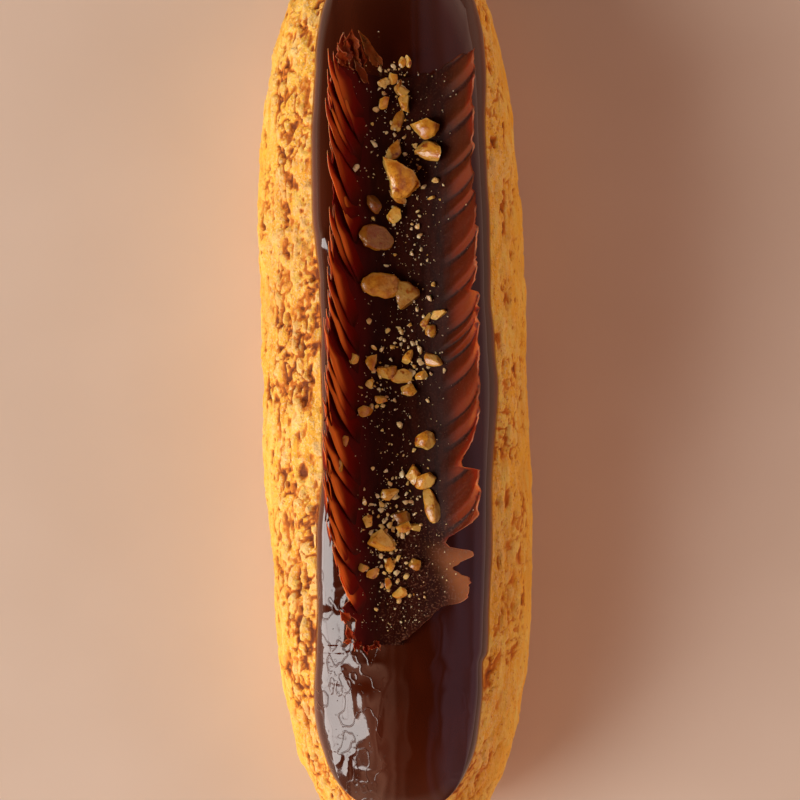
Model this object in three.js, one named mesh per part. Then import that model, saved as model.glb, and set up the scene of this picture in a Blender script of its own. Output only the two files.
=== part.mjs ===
// A chocolate eclair: a long choux bun baked under a crackled crust, a glossy chocolate glaze over its top,
// and one pleated, trough-shaped chocolate curl lying along the glaze.
// Millimetres. +Z is up, Y runs along the eclair, and the origin is the middle of its flat base.
import * as THREE from "three";
import { mergeVertices } from "three/addons/utils/BufferGeometryUtils.js";

// ---- Choux bun ----
const BUN_LENGTH = 150;
const BUN_HALF_WIDTH = 21.6;
const BUN_TOP_Z = 33; // crown of the bun, under the glaze
const BUN_WIDEST_Z = 13; // height of the widest line
const BUN_BELLY_DEPTH = 15.5; // the lower half would reach this far down, and the base cuts it flat at z = 0
const PLAN_POWER = 3; // how blunt the two ends are, seen from above
const CROWN_LENGTH_POWER = 5; // how far the crown stays level before it falls to the tips
const CROWN_SECTION_POWER = 2.1;
const BELLY_SECTION_POWER = 2.5;
const BUN_BEND = 1.3; // the bun is a shallow S in plan
const BUN_BEND_LENGTH = 110;
const LUMP_HEIGHT = 0.55; // soft swellings of the crust
const BUN_STATIONS = 50;
const BUN_SIDES = 34;

// ---- Glaze ----
const GLAZE_LENGTH = 138.5;
const GLAZE_CENTRE_Y = 1;
const GLAZE_HALF_WIDTH = 14;
const GLAZE_THICKNESS = 1.4;
const GLAZE_LIP = 0.3; // thickness left at the very edge
const GLAZE_SIDE_SHIFT = 1.25; // the glaze sits to one side of the bun's middle line
const GLAZE_SWAY = 0.6; // and swings a little from side to side
const GLAZE_SWAY_LENGTH = 55;
const GLAZE_SHOULDER_POWER = 10; // its sides stay straight almost to the tips
const GLAZE_TIP_POWER = 2.4;
const GLAZE_EDGE_POWER = 8; // how tightly its top rounds down to the edge
const GLAZE_STATIONS = 40;
const GLAZE_STRIPS = 10;

// ---- Chocolate curl ----
const CURL_TOP_Y = 48.5; // where the middle of the trough starts
const CURL_FOOT_Y = -41.5; // and where it ends
const CURL_CENTRE_X = 1.1;
const CURL_RADIUS = 13.7;
const CURL_HALF_ANGLE = THREE.MathUtils.degToRad(60);
const CURL_THICKNESS = 0.7;
const PLEATS = 19;
const PLEAT_HEIGHT = 1.1; // how far a pleat stands in from the wall at the rim
const PLEAT_START = 0.35; // share of the way from the trough's middle to its rim where the pleats begin
const PLEAT_STEPS = [0, 0.4, 0.8, 0.96]; // a slow rise and a sharp drop
const SWEEP_VERTEX = -0.3; // each pleat runs forward, towards +Y, on both sides of this line across the trough
const SWEEP_POWER = 1.7;
const LEFT_SWEEP = 12.5;
const RIGHT_SWEEP = 8;
const FIRST_SWEEP = 0.35; // the first pleats, at the top, are less swept
const SWEPT_AFTER = 5; // and this many on they reach the full sweep
const RIM_RAGGEDNESS = 0.07; // each pleat's rim falls by this share from its tip to its end
const CURL_STRIPS = 12;
// Broken places in the rims: where, half how long, and how deep as a share of the wall.
const LEFT_BREAKS = [
  { y: 30, reach: 2.4, depth: 0.16 },
  { y: 3, reach: 2.2, depth: 0.14 },
];
const RIGHT_BREAKS = [
  { y: -11, reach: 3, depth: 0.26 },
  { y: -24.3, reach: 2.8, depth: 0.42 },
  { y: -29.2, reach: 1.8, depth: 0.3 },
];
// Both walls run out towards the foot, which is a tongue.
const LEFT_TAPER = { from: -14, to: -42, depth: 0.55 };
const RIGHT_TAPER = { from: -26, to: -42, depth: 0.5 };
const REACH_PASSES = 3; // a rim's place and its height depend on each other, and settle in a few rounds

const SEAT_GAP = 0.35; // clearance between one piece and the piece it rests on

const choux = new THREE.MeshStandardMaterial({ color: 0xd58a3c, roughness: 0.8, metalness: 0 });
const glazeFinish = new THREE.MeshStandardMaterial({ color: 0x31100a, roughness: 0.12, metalness: 0 });
const curlFinish = new THREE.MeshStandardMaterial({ color: 0x571d10, roughness: 0.35, metalness: 0 });

// ---- Shared shape functions ----

const { smoothstep } = THREE.MathUtils;
const signedPower = (value, power) => Math.sign(value) * Math.abs(value) ** power;

// 1 in the middle, 0 at both ends of -1..1, by a superellipse of two powers.
const roundOff = (u, power, tipPower) => (1 - Math.min(1, Math.abs(u)) ** power) ** (1 / tipPower);

const bunCentreX = (y) => -BUN_BEND * Math.sin((Math.PI * y) / BUN_BEND_LENGTH);
const bunAlong = (y) => y / (BUN_LENGTH / 2);
const bunHalfWidth = (y) => BUN_HALF_WIDTH * roundOff(bunAlong(y), PLAN_POWER, PLAN_POWER);
const bunRise = (y) => (BUN_TOP_Z - BUN_WIDEST_Z) * roundOff(bunAlong(y), CROWN_LENGTH_POWER, PLAN_POWER);
const bunBelly = (y) => BUN_BELLY_DEPTH * roundOff(bunAlong(y), CROWN_LENGTH_POWER, PLAN_POWER);

// Height of the smooth crown above a point in plan.
function crownZ(x, y) {
  const across = Math.abs(x - bunCentreX(y)) / bunHalfWidth(y);
  return BUN_WIDEST_Z + bunRise(y) * roundOff(across, CROWN_SECTION_POWER, CROWN_SECTION_POWER);
}

const glazeCentreX = (y) => GLAZE_SIDE_SHIFT + GLAZE_SWAY * Math.cos((Math.PI * y) / GLAZE_SWAY_LENGTH);
const glazeAlong = (y) => (y - GLAZE_CENTRE_Y) / (GLAZE_LENGTH / 2);
const glazeHalfWidth = (y) =>
  GLAZE_HALF_WIDTH * roundOff(glazeAlong(y), GLAZE_SHOULDER_POWER, GLAZE_TIP_POWER);

// Thickness of the glaze at a share of its half width: full in the middle, a rounded lip at its edge.
function glazeThickness(y, across) {
  const fromEdge = roundOff(Math.max(Math.abs(across), Math.abs(glazeAlong(y))), GLAZE_EDGE_POWER, 2);
  return GLAZE_LIP + (GLAZE_THICKNESS - GLAZE_LIP) * fromEdge;
}

// ---- Mesh helpers ----

// One closed surface from a list of points and triangles, with equal points merged and empty triangles dropped.
function closedGeometry(points, triangles) {
  const geometry = new THREE.BufferGeometry();
  geometry.setAttribute("position", new THREE.Float32BufferAttribute(points.flat(), 3));
  geometry.setIndex(triangles.flat());
  const merged = mergeVertices(geometry, 1e-4);
  const index = merged.index.array;
  const kept = [];
  for (let i = 0; i < index.length; i += 3) {
    const [a, b, c] = [index[i], index[i + 1], index[i + 2]];
    if (a !== b && b !== c && c !== a) kept.push(a, b, c);
  }
  merged.setIndex(kept);
  merged.computeVertexNormals();
  return merged;
}

// A solid of closed rings between two poles. ring(i) gives the points of ring i, clockwise seen from +Y, and
// the rings run from -Y to +Y.
function ringSolid(count, ring, firstPole, lastPole) {
  const points = [firstPole];
  for (let i = 0; i < count; i++) points.push(...ring(i));
  points.push(lastPole);
  const sides = (points.length - 2) / count;
  const at = (i, j) => 1 + i * sides + (j % sides);
  const triangles = [];
  for (let j = 0; j < sides; j++) {
    triangles.push([0, at(0, j), at(0, j + 1)]);
    for (let i = 0; i + 1 < count; i++) {
      triangles.push([at(i, j), at(i + 1, j), at(i + 1, j + 1)]);
      triangles.push([at(i, j), at(i + 1, j + 1), at(i, j + 1)]);
    }
    triangles.push([points.length - 1, at(count - 1, j + 1), at(count - 1, j)]);
  }
  return closedGeometry(points, triangles);
}

// A sheet of material between an upper and a lower grid. Rows run towards -Y and columns towards +X.
function slabSolid(rows, columns, upper, lower) {
  const points = [];
  for (const face of [upper, lower])
    for (let i = 0; i < rows; i++)
      for (let j = 0; j < columns; j++) points.push(face(i, j));
  const top = (i, j) => i * columns + j;
  const under = (i, j) => rows * columns + top(i, j);
  const triangles = [];
  const quad = (a, b, c, d) => triangles.push([a, b, c], [a, c, d]);
  for (let i = 0; i + 1 < rows; i++)
    for (let j = 0; j + 1 < columns; j++) {
      quad(top(i, j), top(i + 1, j), top(i + 1, j + 1), top(i, j + 1));
      quad(under(i, j), under(i, j + 1), under(i + 1, j + 1), under(i + 1, j));
    }
  for (let i = 0; i + 1 < rows; i++) {
    quad(top(i, 0), under(i, 0), under(i + 1, 0), top(i + 1, 0));
    quad(top(i + 1, columns - 1), under(i + 1, columns - 1), under(i, columns - 1), top(i, columns - 1));
  }
  for (let j = 0; j + 1 < columns; j++) {
    quad(top(0, j + 1), under(0, j + 1), under(0, j), top(0, j));
    quad(top(rows - 1, j), under(rows - 1, j), under(rows - 1, j + 1), top(rows - 1, j + 1));
  }
  return closedGeometry(points, triangles);
}

// ---- Choux bun ----

// Soft swellings of the crust, none of them under the glaze or on the base.
function lump(x, y, angle) {
  const [along, up] = [Math.cos(angle), Math.sin(angle)];
  const wave =
    Math.sin(0.21 * y + 2.2 * up) * 0.5 +
    Math.sin(0.47 * y - 3.1 * along + 1) * 0.3 +
    Math.sin(0.33 * y + 4.3 * up * along) * 0.2;
  const bare = Math.abs(x - glazeCentreX(y)) - glazeHalfWidth(y);
  const clear = up > 0 ? smoothstep(bare, 1, 4) : smoothstep(up, -0.9, -0.2);
  return LUMP_HEIGHT * wave * clear;
}

// A point of the bun's skin. The angle is 0 at the widest line on the +X side and turns upwards.
function bunPoint(y, angle) {
  const [along, up] = [Math.cos(angle), Math.sin(angle)];
  const power = 2 / (up > 0 ? CROWN_SECTION_POWER : BELLY_SECTION_POWER);
  const x = bunCentreX(y) + bunHalfWidth(y) * signedPower(along, power);
  const z = BUN_WIDEST_Z + (up > 0 ? bunRise(y) : bunBelly(y)) * signedPower(up, power);
  const out = lump(x, y, angle);
  return [x + out * along, y, Math.max(0, z + out * up)];
}

function makeBun() {
  const half = BUN_LENGTH / 2;
  const stationY = (i) => -half * Math.cos((Math.PI * (i + 1)) / (BUN_STATIONS + 1));
  const ring = (i) =>
    Array.from({ length: BUN_SIDES }, (_, j) => bunPoint(stationY(i), (2 * Math.PI * j) / BUN_SIDES));
  return ringSolid(
    BUN_STATIONS,
    ring,
    [bunCentreX(-half), -half, BUN_WIDEST_Z],
    [bunCentreX(half), half, BUN_WIDEST_Z],
  );
}

// ---- Glaze ----

function makeGlaze() {
  const half = GLAZE_LENGTH / 2;
  const place = (i, j) => {
    const y = GLAZE_CENTRE_Y + half * Math.cos((Math.PI * i) / (GLAZE_STATIONS - 1));
    const across = Math.sin((Math.PI / 2) * ((2 * j) / GLAZE_STRIPS - 1));
    const x = glazeCentreX(y) + glazeHalfWidth(y) * across;
    return { x, y, across, seat: crownZ(x, y) + SEAT_GAP };
  };
  const lower = (i, j) => {
    const p = place(i, j);
    return [p.x, p.y, p.seat];
  };
  const upper = (i, j) => {
    const p = place(i, j);
    return [p.x, p.y, p.seat + glazeThickness(p.y, p.across)];
  };
  return slabSolid(GLAZE_STATIONS, GLAZE_STRIPS + 1, upper, lower);
}

// ---- Chocolate curl ----

// How much of a wall's height is left at y, after its broken places.
function wallLeft(y, breaks) {
  return breaks.reduce((left, b) => left - b.depth * Math.exp(-(((y - b.y) / b.reach) ** 4)), 1);
}

// How far out a wall reaches at y, as a share of its full arc.
function curlReach(y, side, phase) {
  const [breaks, taper] = side < 0 ? [LEFT_BREAKS, LEFT_TAPER] : [RIGHT_BREAKS, RIGHT_TAPER];
  const runOut = taper.depth * smoothstep(-y, -taper.from, -taper.to);
  return wallLeft(y, breaks) - runOut - RIM_RAGGEDNESS * phase;
}

// How far forward a pleat lies at a share across the trough, from -1 to 1.
function sweepAt(share, pleat) {
  const ahead = FIRST_SWEEP + (1 - FIRST_SWEEP) * smoothstep(pleat, 0, SWEPT_AFTER);
  const out =
    share < SWEEP_VERTEX
      ? LEFT_SWEEP * ((SWEEP_VERTEX - share) / (1 + SWEEP_VERTEX)) ** SWEEP_POWER
      : RIGHT_SWEEP * ((share - SWEEP_VERTEX) / (1 - SWEEP_VERTEX)) ** SWEEP_POWER;
  return ahead * out;
}

// A point of the curl's inner face. The pleat count runs from the top to the foot, across from -1 to 1.
function curlPoint(pleat, phase, across, depth) {
  const side = Math.sign(across);
  const middleY = CURL_TOP_Y + ((CURL_FOOT_Y - CURL_TOP_Y) * (pleat + phase)) / PLEATS;
  let reach = 1;
  for (let pass = 0; pass < REACH_PASSES; pass++)
    reach = curlReach(middleY + sweepAt(side * reach, pleat), side, phase);
  const share = across * reach;
  const y = middleY + sweepAt(share, pleat);
  const angle = share * CURL_HALF_ANGLE;
  const pleatHeight = PLEAT_HEIGHT * phase * smoothstep(Math.abs(share), PLEAT_START, 1);
  const radius = CURL_RADIUS - pleatHeight + depth;
  const seat = crownZ(bunCentreX(middleY), middleY) + 2 * SEAT_GAP + GLAZE_THICKNESS + CURL_THICKNESS;
  return [
    CURL_CENTRE_X + radius * Math.sin(angle),
    y,
    seat + CURL_RADIUS - radius * Math.cos(angle),
  ];
}

function makeCurl() {
  const rows = PLEATS * PLEAT_STEPS.length;
  const place = (i, j, depth) =>
    curlPoint(
      Math.floor(i / PLEAT_STEPS.length),
      PLEAT_STEPS[i % PLEAT_STEPS.length],
      (2 * j) / CURL_STRIPS - 1,
      depth,
    );
  return slabSolid(
    rows,
    CURL_STRIPS + 1,
    (i, j) => place(i, j, 0),
    (i, j) => place(i, j, CURL_THICKNESS),
  );
}

// ---- The eclair ----

function named(name, geometry, material) {
  const mesh = new THREE.Mesh(geometry, material);
  mesh.name = name;
  return mesh;
}

const eclair = new THREE.Group();
eclair.add(
  named("choux_bun", makeBun(), choux),
  named("chocolate_glaze", makeGlaze(), glazeFinish),
  named("chocolate_curl", makeCurl(), curlFinish),
);

const middle = new THREE.Box3().setFromObject(eclair).getCenter(new THREE.Vector3());
eclair.position.set(-middle.x, -middle.y, 0);

export default eclair;
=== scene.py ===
"""Looks of the chocolate eclair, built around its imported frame.

Lengths inside the shape functions are millimetres, and make_piece turns them into metres.
"""
import math

import bmesh
import bpy
import numpy as np
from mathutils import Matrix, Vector


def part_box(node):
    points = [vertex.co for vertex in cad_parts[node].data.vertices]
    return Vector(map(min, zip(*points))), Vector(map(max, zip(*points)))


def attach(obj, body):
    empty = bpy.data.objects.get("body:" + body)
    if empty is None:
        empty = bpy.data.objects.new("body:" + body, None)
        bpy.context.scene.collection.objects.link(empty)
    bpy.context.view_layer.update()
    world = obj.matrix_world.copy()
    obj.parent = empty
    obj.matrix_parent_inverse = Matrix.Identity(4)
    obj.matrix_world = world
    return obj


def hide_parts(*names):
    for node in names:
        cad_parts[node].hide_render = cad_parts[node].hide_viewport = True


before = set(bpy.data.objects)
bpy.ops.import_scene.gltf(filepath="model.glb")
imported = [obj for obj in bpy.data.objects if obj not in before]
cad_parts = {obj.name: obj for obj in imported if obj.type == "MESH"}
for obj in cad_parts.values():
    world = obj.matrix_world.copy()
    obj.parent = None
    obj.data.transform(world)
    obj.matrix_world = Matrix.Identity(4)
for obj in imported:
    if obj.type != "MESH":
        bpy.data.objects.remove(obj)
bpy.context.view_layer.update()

MM = 0.001

# ---- Driving sizes, the same as the solids' ----


def node_box(node):
    """Lowest and highest corner of a solid, in millimetres."""
    low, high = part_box(node)
    return np.array(low) / MM, np.array(high) / MM


bun_low, bun_high = node_box("choux_bun")
glaze_low, glaze_high = node_box("chocolate_glaze")

BUN_HALF_LENGTH = (bun_high[1] - bun_low[1]) / 2
BUN_HALF_WIDTH = 21.6
BUN_TOP_Z = 33.0
BUN_WIDEST_Z = 13.0
BUN_BELLY_DEPTH = 15.5
PLAN_POWER = 3.0
CROWN_LENGTH_POWER = 5.0
CROWN_SECTION_POWER = 2.1
BELLY_SECTION_POWER = 2.5
BUN_BEND = 1.3
BUN_BEND_LENGTH = 110.0

GLAZE_HALF_LENGTH = (glaze_high[1] - glaze_low[1]) / 2
GLAZE_CENTRE_Y = (glaze_high[1] + glaze_low[1]) / 2
GLAZE_HALF_WIDTH = 14.0
GLAZE_THICKNESS = 1.4
GLAZE_SIDE_SHIFT = 1.25
GLAZE_SWAY = 0.6
GLAZE_SWAY_LENGTH = 55.0
GLAZE_SHOULDER_POWER = 10.0
GLAZE_TIP_POWER = 2.4
SEAT_GAP = 0.35

CURL_CENTRE_X = 1.1
CURL_RADIUS = 13.7
CURL_HALF_ANGLE = math.radians(60)
CURL_THICKNESS = 0.7

# The solids are moved sideways so that the whole stands over the origin. The glaze's edge shows by how much.
SIDE_MOVE = glaze_high[0] - (GLAZE_SIDE_SHIFT + GLAZE_SWAY + GLAZE_HALF_WIDTH)

# ---- Shared shape functions ----


def clamp01(value):
    return np.clip(value, 0.0, 1.0)


def smoothstep(value, low, high):
    share = clamp01((value - low) / (high - low))
    return share * share * (3 - 2 * share)


def signed_power(value, power):
    return np.sign(value) * np.abs(value) ** power


def round_off(u, power, tip_power):
    """1 in the middle and 0 at both ends of -1..1."""
    return (1 - np.minimum(1, np.abs(u)) ** power) ** (1 / tip_power)


def bun_centre_x(y):
    return -BUN_BEND * np.sin(np.pi * y / BUN_BEND_LENGTH)


def bun_half_width(y):
    return BUN_HALF_WIDTH * round_off(y / BUN_HALF_LENGTH, PLAN_POWER, PLAN_POWER)


def bun_fullness(y):
    return round_off(y / BUN_HALF_LENGTH, CROWN_LENGTH_POWER, PLAN_POWER)


def crown_z(x, y):
    """Height of the smooth crown above a point in plan."""
    across = np.abs(x - bun_centre_x(y)) / np.maximum(bun_half_width(y), 1e-6)
    rise = (BUN_TOP_Z - BUN_WIDEST_Z) * bun_fullness(y)
    return BUN_WIDEST_Z + rise * round_off(across, CROWN_SECTION_POWER, CROWN_SECTION_POWER)


def glaze_centre_x(y):
    return GLAZE_SIDE_SHIFT + GLAZE_SWAY * np.cos(np.pi * y / GLAZE_SWAY_LENGTH)


def glaze_along(y):
    return (y - GLAZE_CENTRE_Y) / GLAZE_HALF_LENGTH


def glaze_half_width(y):
    return GLAZE_HALF_WIDTH * round_off(glaze_along(y), GLAZE_SHOULDER_POWER, GLAZE_TIP_POWER)


# ---- Repeatable noise ----
# A seed is any number that tells one use of the noise from another.


def spot(x, y, z=0.0):
    """Points from their coordinates, which may be grids, rows, columns or single numbers."""
    return np.stack(np.broadcast_arrays(x, y, z), axis=-1).astype(float)


def lattice(cell, seed):
    """A repeatable random value from 0 to 1 for each cell of integers."""
    mixed = (cell[..., 0] * 73856093) ^ (cell[..., 1] * 19349663) ^ (cell[..., 2] * 83492791)
    mixed = (mixed ^ (seed * 668265263)) & 0xFFFFFFFF
    mixed = ((mixed ^ (mixed >> 13)) * 1274126177) & 0xFFFFFFFF
    mixed = ((mixed ^ (mixed >> 15)) * 2246822519) & 0xFFFFFFFF
    return ((mixed ^ (mixed >> 16)) & 0xFFFFFF) / float(0xFFFFFF)


def noise(points, size, seed):
    """Smooth random values from -1 to 1. size is the width of a swelling, one number or one for each axis."""
    place = points / np.asarray(size, float)
    cell = np.floor(place).astype(np.int64)
    share = place - cell
    share = share**3 * (share * (share * 6 - 15) + 10)
    total = 0.0
    for corner in np.ndindex(2, 2, 2):
        weight = np.prod(np.where(corner, share, 1 - share), axis=-1)
        total = total + weight * lattice(cell + np.array(corner), seed)
    return 2 * total - 1


def scatter(points, size, seed):
    """Distances to the nearest and second nearest of scattered points, and the nearest one's random value."""
    place = points / np.asarray(size, float)
    cell = np.floor(place).astype(np.int64)
    nearest = np.full(place.shape[:-1], np.inf)
    second = nearest.copy()
    owner = np.zeros_like(nearest)
    for step in np.ndindex(3, 3, 3):
        home = cell + np.array(step) - 1
        middle = home + np.stack([lattice(home, seed + axis) for axis in range(3)], axis=-1)
        distance = np.linalg.norm(place - middle, axis=-1)
        closer = distance < nearest
        second = np.where(closer, nearest, np.minimum(second, distance))
        owner = np.where(closer, lattice(home, seed + 3), owner)
        nearest = np.where(closer, distance, nearest)
    return nearest, second, owner


def warp(points, size, amount, seed):
    """The points moved about by noise."""
    moves = [noise(points, size, seed + axis) for axis in range(3)]
    return points + amount * np.stack(moves, axis=-1)


# ---- Mesh helpers ----


def grid_normals(points, wrap=False):
    """Unit normals of a grid of points, rows by columns. Columns close on themselves where wrap is true."""
    down = np.gradient(points, axis=0)
    if wrap:
        across = (np.roll(points, -1, axis=1) - np.roll(points, 1, axis=1)) / 2
    else:
        across = np.gradient(points, axis=1)
    normal = np.cross(across, down)
    return normal / np.maximum(np.linalg.norm(normal, axis=-1, keepdims=True), 1e-9)


def grid_faces(rows, columns, first=0, wrap=False):
    """Faces of a grid whose point numbers start at first."""
    i = np.arange(rows - 1)[:, None]
    j = np.arange(columns if wrap else columns - 1)[None, :]
    k = (j + 1) % columns
    at = lambda row, column: (first + row * columns + column).ravel()
    return np.stack([at(i, j), at(i + 1, j), at(i + 1, k), at(i, k)], axis=-1)


def make_piece(name, points, faces, material, layers=None, sharp_angle=None):
    """A mesh object that rides on the eclair. layers are named values, one for each point."""
    mesh = bpy.data.meshes.new(name)
    placed = (points + np.array([SIDE_MOVE, 0, 0])) * MM
    mesh.from_pydata(placed.tolist(), [], [list(face) for face in faces])
    mesh.validate()
    mesh.polygons.foreach_set("use_smooth", np.ones(len(mesh.polygons), bool))
    for layer, values in (layers or {}).items():
        attribute = mesh.attributes.new(layer, "FLOAT", "POINT")
        attribute.data.foreach_set("value", np.ascontiguousarray(values, np.float32).ravel())
    if sharp_angle is not None:
        mesh.set_sharp_from_angle(angle=sharp_angle)
    mesh.materials.append(material)
    piece = bpy.data.objects.new(name, mesh)
    bpy.context.scene.collection.objects.link(piece)
    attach(piece, "root")
    return piece


def slab(upper, lower):
    """Points and faces of a sheet of material between an upper and a lower grid."""
    rows, columns = upper.shape[:2]
    count = rows * columns
    points = np.concatenate([upper.reshape(-1, 3), lower.reshape(-1, 3)])
    top = grid_faces(rows, columns)
    under = grid_faces(rows, columns, count)[:, ::-1]
    rim = np.concatenate([
        np.arange(columns),
        np.arange(1, rows) * columns + columns - 1,
        (rows - 1) * columns + np.arange(columns - 2, -1, -1),
        np.arange(rows - 2, 0, -1) * columns,
    ])
    after = np.roll(rim, -1)
    side = np.stack([rim, after, after + count, rim + count], axis=-1)
    return points, np.concatenate([top, under, side])


def twice(values):
    """Values for both faces of a slab."""
    return np.concatenate([values.ravel()] * 2)


# ---- Materials ----


def srgb(red, green, blue):
    """A colour as seen on a screen, 0 to 255, as the shader's linear colour."""
    channels = np.array([red, green, blue]) / 255
    linear = np.where(channels <= 0.04045, channels / 12.92, ((channels + 0.055) / 1.055) ** 2.4)
    return (*linear.tolist(), 1.0)


class Finish:
    """A procedural material with a Principled shader and short ways to add nodes."""

    def __init__(self, name, roughness, **sockets):
        self.material = bpy.data.materials.new(name)
        self.material.use_nodes = True
        self.tree = self.material.node_tree
        self.shader = next(n for n in self.tree.nodes if n.type == "BSDF_PRINCIPLED")
        self.shader.inputs["Roughness"].default_value = roughness
        for socket, value in sockets.items():
            self.shader.inputs[socket.replace("_", " ")].default_value = value
        self.place = self.tree.nodes.new("ShaderNodeTexCoord").outputs["Object"]

    def set(self, socket, value):
        if isinstance(value, bpy.types.NodeSocket):
            self.tree.links.new(value, socket)
        else:
            socket.default_value = value

    def layer(self, name):
        node = self.tree.nodes.new("ShaderNodeAttribute")
        node.attribute_name = name
        return node.outputs["Fac"]

    def noise(self, size, detail=3.0, stretch=(1, 1, 1), roughness=0.55):
        """Noise whose swellings are about size millimetres wide, longer along an axis by its stretch."""
        mapping = self.tree.nodes.new("ShaderNodeMapping")
        self.tree.links.new(self.place, mapping.inputs["Vector"])
        mapping.inputs["Scale"].default_value = [1 / s for s in stretch]
        node = self.tree.nodes.new("ShaderNodeTexNoise")
        self.tree.links.new(mapping.outputs["Vector"], node.inputs["Vector"])
        node.inputs["Scale"].default_value = 1 / (size * MM)
        node.inputs["Detail"].default_value = detail
        node.inputs["Roughness"].default_value = roughness
        return node.outputs["Fac"]

    def ramp(self, value, low, high):
        """0 where value is under low and 1 where it is over high, smoothly."""
        node = self.tree.nodes.new("ShaderNodeMapRange")
        node.interpolation_type = "SMOOTHSTEP"
        self.set(node.inputs["Value"], value)
        node.inputs["From Min"].default_value = low
        node.inputs["From Max"].default_value = high
        return node.outputs["Result"]

    def math(self, operation, a, b):
        node = self.tree.nodes.new("ShaderNodeMath")
        node.operation = operation
        self.set(node.inputs[0], a)
        self.set(node.inputs[1], b)
        return node.outputs[0]

    def mix(self, share, a, b):
        node = self.tree.nodes.new("ShaderNodeMix")
        node.data_type = "RGBA"
        self.set(node.inputs["Factor"], share)
        self.set(node.inputs[6], a)
        self.set(node.inputs[7], b)
        return node.outputs[2]

    def colour(self, value):
        self.tree.links.new(value, self.shader.inputs["Base Color"])

    def rough(self, value, low, high):
        node = self.tree.nodes.new("ShaderNodeMapRange")
        self.set(node.inputs["Value"], value)
        node.inputs["To Min"].default_value = low
        node.inputs["To Max"].default_value = high
        self.tree.links.new(node.outputs["Result"], self.shader.inputs["Roughness"])

    def bumps(self, *heights):
        """Bump from pairs of a height from 0 to 1 and its depth in millimetres."""
        before = None
        for value, depth in heights:
            node = self.tree.nodes.new("ShaderNodeBump")
            node.inputs["Distance"].default_value = depth * MM
            self.tree.links.new(value, node.inputs["Height"])
            if before is not None:
                self.tree.links.new(before, node.inputs["Normal"])
            before = node.outputs["Normal"]
        self.tree.links.new(before, self.shader.inputs["Normal"])


def choux_finish():
    """Golden baked crust, browned towards the base, with painted light and shade: painted highlights paler on
    raised flakes and crumbs, painted shade orange in hollows, brown in cracks and in the broad dips.
    """
    finish = Finish("choux_crust", 0.6, Subsurface_Weight=0.12, Subsurface_Scale=0.0008)
    finish.shader.inputs["Subsurface Radius"].default_value = (1.0, 0.65, 0.35)
    finish.shader.inputs["Specular IOR Level"].default_value = 0.3
    streaks = finish.noise(1.5, 4, (1, 3.2, 1))
    patches = finish.noise(6, 3, (1, 1.8, 1))
    grain = finish.noise(0.55, 4, (1, 1.5, 1), 0.7)
    crumbs = finish.noise(0.36, 3, (1, 1.3, 1), 0.6)
    gold = finish.mix(finish.ramp(streaks, 0.36, 0.64), srgb(254, 184, 50), srgb(255, 213, 100))
    toned = finish.mix(finish.ramp(patches, 0.4, 0.75), gold, srgb(253, 190, 58))
    # painted highlight: paler crust on the raised flakes
    highlit_flakes = finish.mix(finish.layer("flake_highlight"), toned, srgb(255, 208, 124))
    # painted highlight: pale specks on the crumbs that the bump raises
    pale = finish.math("MULTIPLY", finish.ramp(crumbs, 0.53, 0.61), finish.layer("crumbly"))
    highlit_crumbs = finish.mix(pale, highlit_flakes, srgb(255, 216, 150))
    freckled = finish.mix(finish.ramp(grain, 0.57, 0.67), highlit_crumbs, srgb(224, 134, 34))
    # browner towards the base from baking, and painted shade in the broad dips
    browned_and_shaded = finish.mix(finish.layer("toast_and_shade"), freckled, srgb(184, 100, 36))
    # painted shade: orange in shallow hollows, dark brown in the deepest cracks and pits
    hollow = finish.mix(finish.ramp(finish.layer("cavity_shade"), 0.16, 0.6), browned_and_shaded, srgb(212, 117, 20))
    finish.colour(finish.mix(finish.ramp(finish.layer("cavity_shade"), 0.48, 0.95), hollow, srgb(122, 54, 10)))
    finish.bumps((streaks, 0.3), (grain, 0.32), (crumbs, 0.18), (finish.noise(0.2, 3), 0.06))
    return finish.material


def glaze_finish():
    """Dark chocolate glaze: mirror-smooth, browner where it is thin, creased where its skin wrinkled."""
    finish = Finish("dark_glaze", 0.06, Coat_Weight=0.4, Coat_Roughness=0.03)
    cloud = finish.noise(9, 3, (1, 2.5, 1))
    deep = finish.mix(finish.ramp(cloud, 0.3, 0.75), srgb(58, 18, 4), srgb(74, 25, 7))
    finish.colour(finish.mix(finish.layer("thin"), deep, srgb(120, 52, 26)))
    finish.rough(finish.noise(5, 3, (1, 2, 1)), 0.03, 0.11)
    wrinkled = finish.layer("wrinkled")
    from_middle = finish.math("SUBTRACT", finish.noise(4.5, 2, (1, 1.5, 1)), 0.5)
    off_line = finish.ramp(finish.math("ABSOLUTE", from_middle, 0.0), 0.0, 0.022)
    creases = finish.math("MULTIPLY", finish.math("SUBTRACT", 1.0, off_line), wrinkled)
    bubbles = finish.math("MULTIPLY", finish.ramp(finish.noise(0.55, 0), 0.77, 0.83), wrinkled)
    ripples = finish.noise(6, 2, (1, 3, 1))
    finish.bumps((ripples, 0.08), (creases, 0.07), (bubbles, 0.1), (finish.noise(0.9, 2), 0.006))
    return finish.material


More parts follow.
